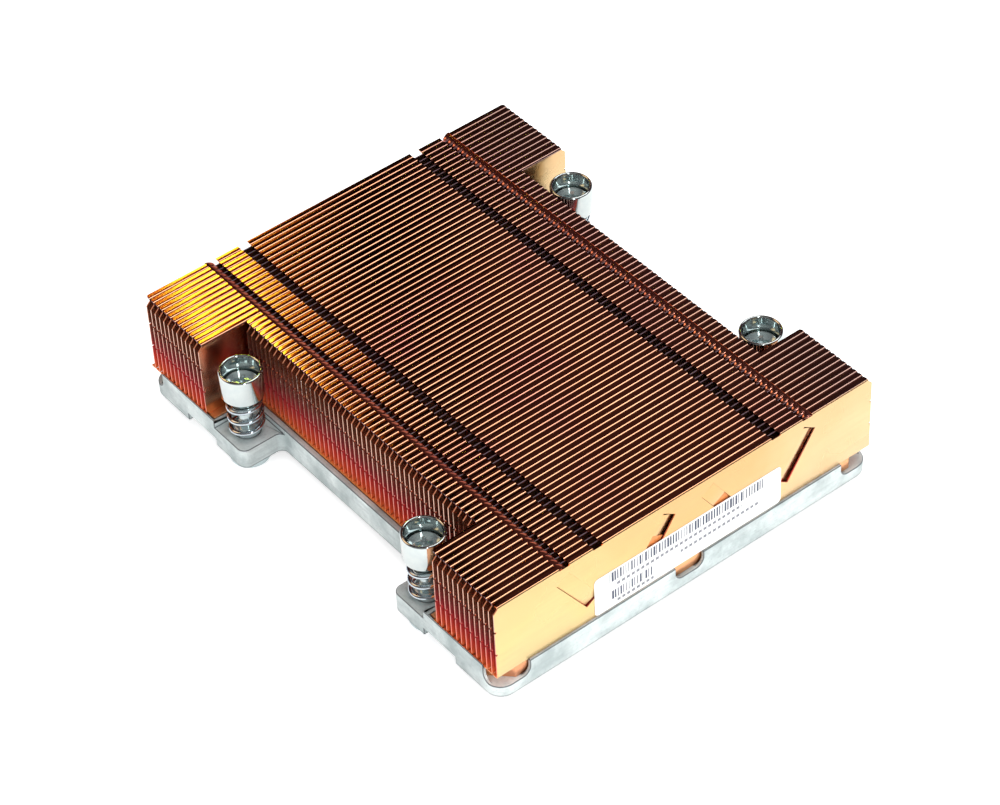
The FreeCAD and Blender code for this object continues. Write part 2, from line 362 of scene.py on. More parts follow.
def makeCopper(name, look, glowing=False):
    material, tree, shader = newMaterial(name, 0.22, 1.0)
    broad = noise(tree, objectPlace(tree), look["cloudScale"], 3)
    marks = rollingMarks(tree)
    colour = ramp(tree, broad, [(0.30, look["tarnish"]), (0.48, look["worn"]), (0.66, look["clean"])])
    colour = mixColour(tree, spread(tree, marks, 0.0, 0.25, 0.35, 0.75), colour, look["tarnish"])
    rough = spread(tree, broad, look["roughHigh"], look["roughLow"])
    if glowing:
        axes = placeAxes(tree)
        # painted shade: towards the right the colour turns greyer and darker, and the surface also gets rougher there
        towardsRight = spreadOver(tree, axes["X"], 0.0, 1.0, look["towardsRightFrom"])
        colour = mixColour(tree, maths(tree, "MULTIPLY", towardsRight, look["rightShadeShare"]), colour, look["dull"])
        rough = maths(tree, "MULTIPLY_ADD", towardsRight, look["dullRough"], rough)
        # painted glow: the colour turns red towards the foot, and less metallic there, standing in for light that
        # bounces between the sheets
        height = axes["Z"]
        red = ramp(tree, spreadOver(tree, height, 0.0, 1.0, look["glowLevels"]), look["glow"])
        colour = mixColour(tree, spreadOver(tree, height, 1.0, 0.0, look["glowShare"]), colour, red)
        bare = spreadOver(tree, height, look["bareMetallic"], 1.0, look["bareLevel"])
        tree.links.new(bare, shader.inputs["Metallic"])
    tree.links.new(colour, shader.inputs["Base Color"])
    tree.links.new(rough, shader.inputs["Roughness"])
    tree.links.new(bumpFrom(tree, marks, look["markDepth"]), shader.inputs["Normal"])
    return material


frontLook = {
    "roughness": (0.20, 0.30),
    # colour along the sheet, from its left end to its right
    "along": [(0.0, (0.80, 0.60, 0.27)), (0.28, (0.79, 0.55, 0.235)), (0.46, (0.77, 0.46, 0.19)),
              (0.64, (0.77, 0.47, 0.20)), (0.84, (0.80, 0.56, 0.29)), (1.0, (0.80, 0.60, 0.33))],
    "length": (-45, 45),  # where those colours begin and end, in mm
    "sway": 8,  # how far the colours wander along the sheet, in mm
    "upper": (0.78, 0.45, 0.22),
    "upperLevels": (17, 26),  # mm above the contact face
    "marks": (0.70, 0.40, 0.20),
    "cloudScale": 70,
    "markDepth": 0.000003,
}


def makeFrontCopper():
    # painted reflection: a brighter, paler copper for the faces that look to the front, yellower at its ends and foot,
    # with faint drawing marks
    material, tree, shader = newMaterial("copperFrontSheet", 0.25, 1.0)
    axes = placeAxes(tree)
    broad = noise(tree, objectPlace(tree), frontLook["cloudScale"], 3)
    marks = rollingMarks(tree)
    sway = frontLook["sway"] * mm
    shifted = maths(tree, "ADD", axes["X"], spread(tree, broad, -sway, sway))
    colour = ramp(tree, spreadOver(tree, shifted, 0.0, 1.0, frontLook["length"]), frontLook["along"])
    upper = spreadOver(tree, axes["Z"], 0.0, 0.4, frontLook["upperLevels"])
    colour = mixColour(tree, upper, colour, frontLook["upper"])
    colour = mixColour(tree, spread(tree, marks, 0.0, 0.22, 0.40, 0.75), colour, frontLook["marks"])
    tree.links.new(colour, shader.inputs["Base Color"])
    low, high = frontLook["roughness"]
    tree.links.new(spread(tree, broad, high, low), shader.inputs["Roughness"])
    tree.links.new(bumpFrom(tree, marks, frontLook["markDepth"]), shader.inputs["Normal"])
    return material


rawLook = {"grainScale": 1500, "darkest": 0.72}


def makeRough(name, colour, metallic, roughness):
    # flat copper colours with a fine grain: painted shade on the bare edges and fold ends of the sheet, and a painted
    # reflection on the pushed-in ends of the tabs
    material, tree, shader = newMaterial(name, roughness, metallic)
    grain = noise(tree, objectPlace(tree), rawLook["grainScale"], 3)
    darker = tuple(rawLook["darkest"] * value for value in colour)
    tree.links.new(mixColour(tree, spread(tree, grain, 0.0, 1.0), darker, colour), shader.inputs["Base Color"])
    return material


castLook = {
    "pale": (0.76, 0.83, 0.82),
    "dark": (0.42, 0.49, 0.49),
    "streak": (0.36, 0.40, 0.41),
    "pit": (0.28, 0.31, 0.33),
    # painted shade for the bevelled edges
    "edge": (0.15, 0.17, 0.18),
    "foot": (0.09, 0.11, 0.115),  # a thin painted shade line along the lowest edge
    "footLevels": (2.55, 2.8),
    "cloudScale": 160,
    "pitScale": 2600,
    "streakScale": (110, 110, 1500),
    "grain": 0.00002,
}


def makeCast(name, shade):
    # shade is how far the colour goes towards the painted shade of the edges
    material, tree, shader = newMaterial(name, 0.5, 0.25)
    cloud = noise(tree, objectPlace(tree), castLook["cloudScale"], 5, 0.6)
    pits = noise(tree, objectPlace(tree), castLook["pitScale"], 3, 0.6)
    colour = mixColour(tree, spread(tree, cloud, 0.0, 1.0, 0.35, 0.68), castLook["dark"], castLook["pale"])
    streaks = noise(tree, objectPlace(tree, castLook["streakScale"]), 1.0, 5, 0.6)
    colour = mixColour(tree, spread(tree, streaks, 0.0, 0.45, 0.50, 0.72), colour, castLook["streak"])
    colour = mixColour(tree, spread(tree, pits, 0.0, 0.35, 0.56, 0.70), colour, castLook["pit"])
    # painted shade: a thin dark line along the lowest edge
    foot = spreadOver(tree, placeAxes(tree)["Z"], 0.85, 0.0, castLook["footLevels"])
    colour = mixColour(tree, foot, colour, castLook["foot"])
    # painted shade on the bevels, as far as the shade argument says
    colour = mixColour(tree, shade, colour, castLook["edge"])
    tree.links.new(colour, shader.inputs["Base Color"])
    tree.links.new(spread(tree, cloud, 0.58, 0.42), shader.inputs["Roughness"])
    grain = maths(tree, "ADD", cloud, pits)
    tree.links.new(bumpFrom(tree, grain, castLook["grain"]), shader.inputs["Normal"])
    return material


platedLook = {"smearScale": 420, "ringScale": (60, 60, 5200), "ringDepth": 0.0000012}


def makePlated(name, pale, dark, roughLow, roughHigh, metallic=1.0):
    # nickel plate: nearly clear reflections, with faint turning marks and smears
    material, tree, shader = newMaterial(name, 0.1, metallic)
    smear = noise(tree, objectPlace(tree), platedLook["smearScale"], 4)
    rings = noise(tree, objectPlace(tree, platedLook["ringScale"]), 1.0, 3)
    tree.links.new(mixColour(tree, spread(tree, smear, 0.0, 1.0), dark, pale), shader.inputs["Base Color"])
    tree.links.new(spread(tree, smear, roughHigh, roughLow), shader.inputs["Roughness"])
    tree.links.new(bumpFrom(tree, rings, platedLook["ringDepth"]), shader.inputs["Normal"])
    return material


labelLook = {
    "paper": (0.93, 0.93, 0.91),
    "fibre": (0.86, 0.87, 0.87),
    "fibreScale": 900,
    "fibreDepth": 0.00001,
    "ink": (0.045, 0.055, 0.10),
    "pale": (0.20, 0.21, 0.24),
    "bars": [(-19.0, 18.2, 15.1, 17.5), (-19.0, -8.6, 10.5, 12.7)],  # left, right, bottom, top in mm
    "barStep": 0.66,
    "dashes": [(-17.6, 12.8, 13.6, 14.3), (-2.1, 17.4, 11.6, 12.3), (-17.6, -8.6, 9.3, 10.0)],
    "dashLength": 1.15,
    "dashShare": 0.66,
}


def makeLabelPaper():
    # plain upright bars of chance widths, and rows of grey dashes
    material, tree, shader = newMaterial("labelPaper", 0.45, 0.0)
    axes = placeAxes(tree)
    x, z = axes["X"], axes["Z"]

    def combine(operation, *values):
        return maths(tree, operation, *values)

    def within(area):
        left, right, bottom, top = (value * mm for value in area)
        across = combine("MULTIPLY", combine("GREATER_THAN", x, left), combine("LESS_THAN", x, right))
        upright = combine("MULTIPLY", combine("GREATER_THAN", z, bottom), combine("LESS_THAN", z, top))
        return combine("MULTIPLY", across, upright)

    steps = combine("MULTIPLY", x, 1 / (labelLook["barStep"] * mm))
    cell = {"W": combine("FLOOR", steps)}
    chance = addNode(tree, "ShaderNodeTexWhiteNoise", cell, noise_dimensions="1D").outputs["Value"]
    bar = combine("LESS_THAN", combine("FRACT", steps), spread(tree, chance, 0.25, 0.8, 0.0, 1.0))
    bars = combine("MULTIPLY", bar, combine("MAXIMUM", *(within(area) for area in labelLook["bars"])))
    dashSteps = combine("MULTIPLY", x, 1 / (labelLook["dashLength"] * mm))
    dash = combine("LESS_THAN", combine("FRACT", dashSteps), labelLook["dashShare"])
    rows = 0.0
    for area in labelLook["dashes"]:
        rows = combine("MAXIMUM", within(area), rows)
    fibre = noise(tree, objectPlace(tree), labelLook["fibreScale"], 4)
    paper = mixColour(tree, spread(tree, fibre, 0.0, 0.5), labelLook["paper"], labelLook["fibre"])
    paper = mixColour(tree, combine("MULTIPLY", dash, rows), paper, labelLook["pale"])
    tree.links.new(mixColour(tree, bars, paper, labelLook["ink"]), shader.inputs["Base Color"])
    tree.links.new(bumpFrom(tree, fibre, labelLook["fibreDepth"]), shader.inputs["Normal"])
    return material


copperFins = makeCopper("copperFins", copperLook, glowing=True)
copperFront = makeFrontCopper()
copperBack = makeCopper("copperBackSheet", backLook)
copperPlate = makeCopper("copperPlate", plateLook)
# painted shade: dark mauve for the bare edges in the gaps and for the fold ends
copperEdgeShade = makeRough("copperShadedEdge", (0.20, 0.13, 0.16), 0.3, 0.45)
copperEnds = makeCopper("copperSheetEnds", endLook, glowing=True)
copperLinks = makeCopper("copperLinks", linkLook)
# painted reflection: orange for the pushed-in tab ends, standing in for the fins mirrored there
copperPushed = makeRough("copperPushedIn", (0.92, 0.33, 0.10), 0.15, 0.4)
castMetal = makeCast("castAluminium", 0.0)
# painted shade for the bevel faces of the frame
castEdgeShade = makeCast("castAluminiumEdgeShade", 1.0)
platedCup = makePlated("nickelPlatedCup", (0.66, 0.71, 0.69), (0.58, 0.64, 0.64), 0.05, 0.11)
screwSteel = makePlated("platedScrewSteel", (0.70, 0.80, 0.80), (0.52, 0.62, 0.64), 0.10, 0.20, 0.75)
springSteel = makePlated("springWireSteel", (0.62, 0.68, 0.71), (0.50, 0.57, 0.62), 0.07, 0.13)
labelPaper = makeLabelPaper()
print("materials made:", len(bpy.data.materials))


# Fins

sheetMaterials = [copperFins, copperEdgeShade, copperLinks, copperEnds]
frontMaterials = sheetMaterials + [copperFront, copperPushed]
wallMaterials = sheetMaterials + [copperFront, copperBack]
cutPart, linkPart, endPart, brightPart, dullPart = range(1, 6)  # their places in these lists

finShape = {
    "blockCount": 13,  # wide fins in the front block, and again in the rear one
    "groups": 7,
    "groupCount": 7,  # narrow fins in each group
    "width": 90.3,
    "narrowWidth": 69.6,
    "pitch": 1.45,
    "sheet": 0.24,
    "fold": 1.37,  # how far the fold and the foot reach back
    "height": 17.9,
    "bend": 0.5,  # outer radius of the folded edge
    "frontBend": 0.34,
    "footBend": 0.35,
    "cornerCut": 0.9,
    "channel": (20.15, 22.35),
    "window": (27.8, 30.2),
    # the stretches of the top fold, from x to x, and how far each is tilted in degrees
    "flangeTilts": [(-99, -29, 0.0), (-29, -21, 0.3), (-21, 21, -1.6), (21, 29, 0.6), (29, 99, 0.8)],
    "flangeRound": 0.55,
    "tick": (0.32, 0.42),  # depth and height of the small notches in a fin's ends
    "tickHeights": (6.2, 12.0),
    "endsFrom": 32,  # faces that look sideways are a fin's ends from here on, measured from its middle
}


def isByGap(x):
    # at one of the gaps in the top fold, as seen along the fin
    return any(low < abs(x) / mm < high for low, high in (finShape["channel"], finShape["window"]))


def makeFinSheet(width, bend):
    # the fin's outer skin, bent from one plane, standing on the plate at zero and facing -Y
    half = width / 2
    height = finShape["height"]
    fold = finShape["fold"]
    deselectAll()
    bpy.ops.mesh.primitive_plane_add(size=1, location=(0, 0, height / 2 * mm), rotation=(math.pi / 2, 0, 0))
    fin = bpy.context.object
    fin.scale = (width * mm, height * mm, 1)
    bakePlace(fin)
    for level in (height, 0):
        pick(fin, "EDGE", lambda place: abs(place.z - level * mm) < 1e-6)
        bpy.ops.mesh.extrude_edges_move(TRANSFORM_OT_translate={"value": (0, fold * mm, 0)})
        bpy.ops.object.mode_set(mode="OBJECT")
    for level, radius, segments in ((height, bend, 4), (0, finShape["footBend"], 2)):
        pick(fin, "EDGE", lambda place: abs(place.z - level * mm) < 1e-6 and abs(place.y) < 1e-6)
        bpy.ops.mesh.bevel(offset=radius * mm, offset_type="OFFSET", segments=segments, affect="EDGES")
        bpy.ops.object.mode_set(mode="OBJECT")

    # the fold is shorter than the sheet, whose corners are cut off towards it. Then come the gaps in the fold
    end = half - finShape["cornerCut"]
    for side in (-1, 1):
        corner = (side * end * mm, 0, (height - bend) * mm)
        cutAcross(fin, corner, (side, 0, 0), test=lambda p: p.z / mm > height - bend)
        cutAcross(fin, corner, (side, 0, 1), test=lambda p: p.z / mm < height - bend)
        for name in ("channel", "window"):
            for x in finShape[name]:
                cutAcross(fin, (side * x * mm, 0, 0), (1, 0, 0))

    def isGap(middle):
        return isByGap(middle.x) and middle.z / mm > height - finShape["bend"] - 0.02

    def isFreeCorner(place):
        return abs(place.x) / mm > end - 0.05 and place.y / mm > fold - 0.01 and place.z / mm > height - 0.05

    deleteFaces(fin, isGap)
    deleteFaces(fin, lambda p: abs(p.x) / mm > end and (abs(p.x) + p.z) / mm > end + height - bend)

    # the fold's free corners are rounded
    pick(fin, "VERT", isFreeCorner)
    bpy.ops.mesh.bevel(offset=finShape["flangeRound"] * mm, segments=3, affect="VERTICES")
    bpy.ops.object.mode_set(mode="OBJECT")
    tiltFlanges(fin)

    depth, tall = finShape["tick"]
    for side in (-1, 1):
        edge = (half - depth) * mm
        cutAcross(fin, (side * edge, 0, 0), (1, 0, 0))
        for level in finShape["tickHeights"]:
            for z in (level - tall / 2, level + tall / 2):
                cutAcross(fin, (0, 0, z * mm), (0, 0, 1), test=lambda p: p.x * side > edge and p.y < 1e-5)
        deleteFaces(fin, lambda p: p.x * side > edge and p.y < 1e-5 and any(
            abs(p.z / mm - level) < tall / 2 - 0.02 for level in finShape["tickHeights"]))
    return fin


def tiltFlanges(fin):
    # each stretch of the top fold sprang back a little differently
    top = (finShape["height"] - finShape["bend"]) * mm
    for vertex in fin.data.vertices:
        if vertex.co.z > top:
            for low, high, angle in finShape["flangeTilts"]:
                if low <= vertex.co.x / mm < high:
                    vertex.co.z -= math.tan(math.radians(angle)) * vertex.co.y
                    break


def thicken(piece, thickness):
    solid = piece.modifiers.new("sheet", "SOLIDIFY")
    solid.thickness = thickness * mm
    solid.offset = -1
    solid.use_even_offset = True
    applyAll(piece)


linkShape = {
    # from its root outwards and down, as x and the height over the fin's top
    "outline": [(30.3, -0.02), (29.8, -0.05), (29.3, -0.12), (28.95, -0.22),
                (28.68, -0.36), (28.48, -0.55), (28.36, -0.8), (28.32, -1.15)],
    "start": 0.1,
    "reach": 1.5,
    "columns": 6,
    "rounding": 0.5,  # how much shorter a link is at the sides of its tip
    "tilt": 0.12,  # each link's front edge lies this far under the one before it
    "thickness": 0.12,
}


def makeLink(side):
    # one sunken link of the row that ties the fins together, with a rounded tip
    top = finShape["height"]
    outline = linkShape["outline"]
    link = drawLine("link", [Vector((side * x, linkShape["start"], top + z)) * mm for x, z in outline])
    bpy.ops.mesh.select_mode(type="EDGE")
    bpy.ops.mesh.select_all(action="SELECT")
    step = linkShape["reach"] / linkShape["columns"] * mm
    for column in range(linkShape["columns"]):
        bpy.ops.mesh.extrude_edges_move(TRANSFORM_OT_translate={"value": (0, step, 0)})
    bpy.ops.object.mode_set(mode="OBJECT")
    root = side * outline[0][0] * mm
    for vertex in link.data.vertices:
        along = (vertex.co.y / mm - linkShape["start"]) / linkShape["reach"]
        across = 2 * along - 1
        drawn = 1 - linkShape["rounding"] * (1 - math.sqrt(max(0, 1 - across * across)))
        down = vertex.co.z - top * mm
        vertex.co.x = root + (vertex.co.x - root) * drawn
        vertex.co.z = top * mm + down * drawn - linkShape["tilt"] * mm * (1 - along)
    cleanUp(link)
    if sum(face.normal.z for face in link.data.polygons) < 0:
        link.data.flip_normals()
    thicken(link, linkShape["thickness"])
    return paint(link, sheetMaterials, linkPart)


def isCutEdge(face):
    # the bare upper edges of the sheet, between the stretches of the fold
    over = face.center.z / mm - finShape["height"] + finShape["bend"]
    return isByGap(face.center.x) and face.normal.z > 0.7 and abs(over) < 0.15


def isEnd(face):
    return abs(face.normal.x) > 0.6 and abs(face.center.x) > finShape["endsFrom"] * mm


def isSheetEnd(face):
    return isEnd(face) and face.center.z / mm < finShape["height"] - finShape["bend"]


def isFoldEnd(face):
    return isEnd(face) and not isSheetEnd(face)


def isWall(face, way):
    # the flat of the sheet, as seen from the front with way -1 and from the back with 1
    return way * face.normal.y > 0.5 and face.center.z / mm < finShape["height"] - finShape["bend"]


def finishFin(fin):
    thicken(fin, finShape["sheet"])
    paint(fin, sheetMaterials)
    paint(fin, sheetMaterials, endPart, isSheetEnd)
    # painted shade on the bare edges and the fold ends
    paint(fin, sheetMaterials, cutPart, lambda face: isCutEdge(face) or isFoldEnd(face))
    joinInto(fin, [makeLink(-1), makeLink(1)])
    smooth(fin, 40)
    return fin


print("bending the fins")
wideFin = finishFin(makeFinSheet(finShape["width"], finShape["bend"]))
narrowFin = finishFin(makeFinSheet(finShape["narrowWidth"], finShape["bend"]))

tabShape = {
    "width": 3.4,
    "length": 12.0,
    "lean": 34,
    "gap": 0.04,
    "height": 10.0,
    "depth": 0.45,  # how far in a pushed-in end lies
    "overlap": 0.05,
    "rounding": 0.06,
}
# side is the way a tab leans, split is where its lower end is pushed in, measured up from its middle
tabs = [
    {"side": -1, "x": -26.2, "swing": 4, "topGap": 0.04, "footGap": 0.5, "split": None},
    {"side": 1, "x": -7.9, "swing": 9, "topGap": 0.32, "footGap": 0.04, "split": 1.1},
    {"side": -1, "x": 7.9, "swing": 1, "topGap": 0.06, "footGap": 0.04, "split": 1.0},
    {"side": 1, "x": 26.2, "swing": 9, "topGap": 0.32, "footGap": 0.04, "split": None},
]


def slantedSlab(tab, width, low, high, front, back, shift=0.0, swing=0.0):
    # a slab in the plane of the sheet, turned to the slant of its tab. It swings about its upper long edge
    deselectAll()
    place = Vector((shift, (front + back) / 2, (low + high) / 2)) * mm
    bpy.ops.mesh.primitive_cube_add(size=1, location=place)
    slab = bpy.context.object
    slab.scale = (width * mm, (back - front) * mm, (high - low) * mm)
    bakePlace(slab)
    side = tab["side"]
    hinge = Vector((-side * tabShape["width"] / 2 * mm, 0, 0))
    swinging = Matrix.Rotation(side * math.radians(swing), 4, "Z")
    swinging = Matrix.Translation(hinge) @ swinging @ Matrix.Translation(-hinge)
    leaning = Matrix.Rotation(side * math.radians(tabShape["lean"]), 4, "Y")
    slab.data.transform(Matrix.Translation(Vector((tab["x"], 0, tabShape["height"])) * mm) @ leaning @ swinging)
    return slab


def makeTab(tab):
    # the tab of a window, with its lower end pushed in where it splits
    gap = tabShape["gap"]
    width = tabShape["width"] - gap
    sheet = finShape["sheet"]
    foot = -tabShape["length"] / 2 + tab["footGap"]
    top = tabShape["length"] / 2 - tab["topGap"]
    isSplit = tab["split"] is not None
    low = tab["split"] if isSplit else foot
    parts = [slantedSlab(tab, width, low, top, 0, sheet, -tab["side"] * gap / 2, tab["swing"])]
    if isSplit:
        depth = tabShape["depth"]
        parts.append(slantedSlab(tab, width, foot, low + tabShape["overlap"], depth, depth + sheet))
    # the pushed-in end takes the painted reflection
    for part, look in zip(parts, (brightPart, dullPart)):
        paint(part, frontMaterials, look)
        rounding = part.modifiers.new("edges", "BEVEL")
        rounding.width = tabShape["rounding"] * mm
        rounding.segments = 2
        applyAll(part)
    return parts


def makeFrontFin():
    fin = makeFinSheet(finShape["width"], finShape["frontBend"])
    thicken(fin, finShape["sheet"])
    parts = []
    for tab in tabs:
        half = tabShape["length"] / 2
        cutOut(fin, slantedSlab(tab, tabShape["width"], -half, half, -1, finShape["sheet"] + 0.4))
        parts += makeTab(tab)
    paint(fin, frontMaterials)
    paint(fin, frontMaterials, endPart, isSheetEnd)
    # painted reflection: the faces that look to the front take the brighter front copper
    paint(fin, frontMaterials, brightPart, lambda face: face.normal.y < -0.5)
    # painted shade on the bare edges
    paint(fin, frontMaterials, cutPart, isCutEdge)
    joinInto(fin, parts + [makeLink(-1), makeLink(1)])
    smooth(fin, 40)
    return fin


settling = {
    "lean": 0.012,  # mm at a fin's top
    "drop": 0.012,
    "turn": 0.018,  # mm at the ends of its top
}


def settle(fin):
    # each fin is set a little differently, as pressed sheets are
    lean = random.uniform(-settling["lean"], settling["lean"])
    lift = random.uniform(-settling["drop"], 0.0)
    turn = random.uniform(-settling["turn"], settling["turn"])
    for vertex in fin.data.vertices:
        share = vertex.co.z / (finShape["height"] * mm)
        vertex.co.y += (lean * share + turn * share * vertex.co.x / (45 * mm)) * mm
        if share > 0.9:
            vertex.co.z += lift * mm


frontFin = makeFrontFin()
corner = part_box("front_fin_01")[0]
plateTop = corner.z
fin = copyAt(frontFin, "work", (0, corner.y, plateTop))
dress(fin, "frontFinSheet01", "heatsink", "copper_fins", "front_fin_01")
count = finShape["blockCount"]
finNodes = [f"front_fin_{n:02d}" for n in range(2, count + 1)] + [f"rear_fin_{n:02d}" for n in range(1, count + 1)]
for node in finNodes:
    fin = copyAt(wideFin, "work")
    if node == "rear_fin_01":
        # painted reflection: of this wall's front, the right half takes the brighter front copper and the left half
        # the back copper
        paint(fin, wallMaterials, dullPart, lambda face: isWall(face, -1))
        paint(fin, wallMaterials, brightPart, lambda face: isWall(face, -1) and face.center.x > 0)
    elif node in ("front_fin_13", "rear_fin_13"):
        paint(fin, wallMaterials, dullPart, lambda face: isWall(face, 1))
    settle(fin)
    fin.data.transform(Matrix.Translation((0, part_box(node)[0].y, plateTop)))
    name = node.split("_")
    dress(fin, f"{name[0]}FinSheet{name[2]}", "heatsink", "copper_fins", node)
for group in range(1, finShape["groups"] + 1):
    node = f"middle_fins_{group:02d}"
    parts = []
    for step in range(finShape["groupCount"]):
        fin = copyAt(narrowFin, f"work{step}")
        settle(fin)
        fin.data.transform(Matrix.Translation((0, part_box(node)[0].y + step * finShape["pitch"] * mm, plateTop)))
        parts.append(fin)
    dress(joinInto(parts[0], parts[1:]), f"middleFinGroup{group:02d}", "heatsink", "copper_fins", node)
discard(wideFin, narrowFin, frontFin)


# Label

labelShape = {"cornerRadius": 0.9, "thickness": 0.1}


def makeLabel():
    low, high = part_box("front_label")
    middle = (low + high) / 2
    deselectAll()
    bpy.ops.mesh.primitive_plane_add(size=1, location=(middle.x, low.y, middle.z), rotation=(math.pi / 2, 0, 0))
    label = bpy.context.object
    label.scale = (high.x - low.x, high.z - low.z, 1)
    bakePlace(label)
    pick(label, "VERT", lambda place: True)
    bpy.ops.mesh.bevel(offset=labelShape["cornerRadius"] * mm, segments=6, affect="VERTICES")
    bpy.ops.object.mode_set(mode="OBJECT")
    thicken(label, labelShape["thickness"])
    smooth(label)
    return label


dress(paint(makeLabel(), [labelPaper]), "frontLabelPaper", "heatsink", "label", "front_label")
print("fins and label done")


# Cast frame and base plate

edgeWidths = {"castFrame": 0.16, "copperBasePlate": 0.15}  # of the small bevels


def softenedCopy(node, name, materials, slot):
    # a copy of a rigid piece, with its loose faces merged and its edges broken
    piece = copyAt(frame["nodes"][node], name)
    piece.parent = None
    piece.matrix_world = Matrix.Identity(4)
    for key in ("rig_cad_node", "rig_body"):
        if key in piece:
            del piece[key]
    pick(piece, "VERT", lambda place: True)
    bpy.ops.mesh.remove_doubles(threshold=2e-6)
    bpy.ops.mesh.dissolve_limited(angle_limit=math.radians(1.0))
    bpy.ops.object.mode_set(mode="OBJECT")
    edge = piece.modifiers.new("edges", "BEVEL")
    edge.width = edgeWidths[name] * mm
    edge.segments = 2
    edge.use_clamp_overlap = False
    edge.limit_method = "ANGLE"
    edge.angle_limit = math.radians(40)
    paint(piece, materials)
    # the bevel faces take the last material, which for the frame is the painted shade of its edges
    edge.material = len(materials) - 1
    applyAll(piece)
    smooth(piece, 38)
    return dress(piece, name, "heatsink", slot, node)


softenedCopy("base_frame", "castFrame", [castMetal, castEdgeShade], "cast_frame")
softenedCopy("base_plate", "copperBasePlate", [copperPlate], "copper_base")
paint(frame["nodes"]["base_screws"], [screwSteel])
print("frame and plate done")


# Cups, springs, screws and sleeves

# outlines of round pieces, as points of radius and height over the contact face
cupOutline = [
    (1.58, 13.7), (2.35, 13.7), (2.55, 13.9), (2.55, 16.78), (2.67, 16.9), (4.12, 16.9), (4.26, 16.96), (4.32, 17.1),
    (4.32, 22.66), (4.28, 22.8), (4.18, 22.92), (4.04, 22.99), (3.98, 23.0), (3.92, 22.99), (3.78, 22.91),
    (3.69, 22.78), (3.65, 22.62), (3.65, 18.75), (3.58, 18.5), (3.4, 18.34), (3.3, 18.3), (1.58, 18.3), (1.58, 13.7),
]
sleeveOutline = [
    (1.58, 9.0), (1.58, 1.95), (3.2, 1.95), (3.2, 0.5), (3.3, 0.3), (3.8, 0.3), (3.95, 0.38), (4.0, 0.5), (4.0, 2.3),
    (3.95, 2.4), (2.6, 2.4), (2.6, 8.8), (2.4, 9.0), (1.58, 9.0),
]
screwOutline = [
    (0.0, 0.3), (1.4, 0.3), (1.75, 0.6), (1.55, 0.78), (1.75, 0.96), (1.55, 1.14), (1.75, 1.32), (1.55, 1.5),
    (1.75, 1.68), (1.6, 1.9), (1.5, 1.9), (1.5, 18.35), (3.0, 18.35), (3.22, 18.45), (3.3, 18.6), (3.3, 19.45),
    (3.2, 19.68), (2.9, 19.85), (2.2, 19.93), (1.0, 19.95), (0.0, 19.95),
]
recessShape = {
    "length": 4.2,
    "width": 1.0,
    "depth": 1.1,
    "taper": (0.55, 0.8),  # how its length and width shrink towards the bottom
}


def makeScrew():
    screw = turned("screw", screwOutline, 48)
    low = screwOutline[-1][1] - recessShape["depth"]
    along, across = recessShape["taper"]
    for turn in (45, 135):
        deselectAll()
        bpy.ops.mesh.primitive_cube_add(size=1, location=(0, 0, (low + 1) * mm))
        cutter = bpy.context.object
        cutter.scale = (recessShape["length"] * mm, recessShape["width"] * mm, 2 * mm)
        bakePlace(cutter)
        for vertex in cutter.data.vertices:  # the recess narrows downwards
            if vertex.co.z < (low + 0.5) * mm:
                vertex.co.x *= along
                vertex.co.y *= across
        cutter.data.transform(Matrix.Rotation(math.radians(turn), 4, "Z"))
        cutOut(screw, cutter)
    smooth(screw, 35)
    return screw


springShape = {
    "wire": 1.0,
    "outer": 3.7,
    "turns": 3.5,
    "ground": 0.4,  # how much of the wire is ground flat at each end
    "bottom": 7.0,
    "top": 16.85,
    "section": 12,
    "steps": 40,
    "travel": 4,  # how far a pressed cup squashes it
}


def makeSpring():
    shape = springShape
    half = shape["wire"] / 2
    start = shape["bottom"] + half - shape["ground"]
    rise = shape["top"] - shape["bottom"] - shape["wire"] + 2 * shape["ground"]
    deselectAll()
    place = ((shape["outer"] - half) * mm, 0, start * mm)
    bpy.ops.mesh.primitive_circle_add(vertices=shape["section"], radius=half * mm, fill_type="NOTHING",
                                      location=place, rotation=(math.pi / 2, 0, 0))
    spring = bpy.context.object
    bakePlace(spring)
    winding = spring.modifiers.new("winding", "SCREW")
    winding.axis = "Z"
    winding.angle = 2 * math.pi * shape["turns"]
    winding.screw_offset = rise * mm
    winding.steps = int(shape["steps"] * shape["turns"])
    winding.render_steps = winding.steps
    winding.use_merge_vertices = False
    applyAll(spring)
    pick(spring, "EDGE", lambda place: True)
    bpy.ops.mesh.select_all(action="DESELECT")
    bpy.ops.mesh.select_non_manifold()
    bpy.ops.mesh.fill_holes(sides=0)
    bpy.ops.object.mode_set(mode="OBJECT")
    cutAcross(spring, (0, 0, shape["bottom"] * mm), (0, 0, -1), clearOuter=True, fill=True)
    cutAcross(spring, (0, 0, shape["top"] * mm), (0, 0, 1), clearOuter=True, fill=True)
    cleanUp(spring)
    smooth(spring, 50)
    return spring


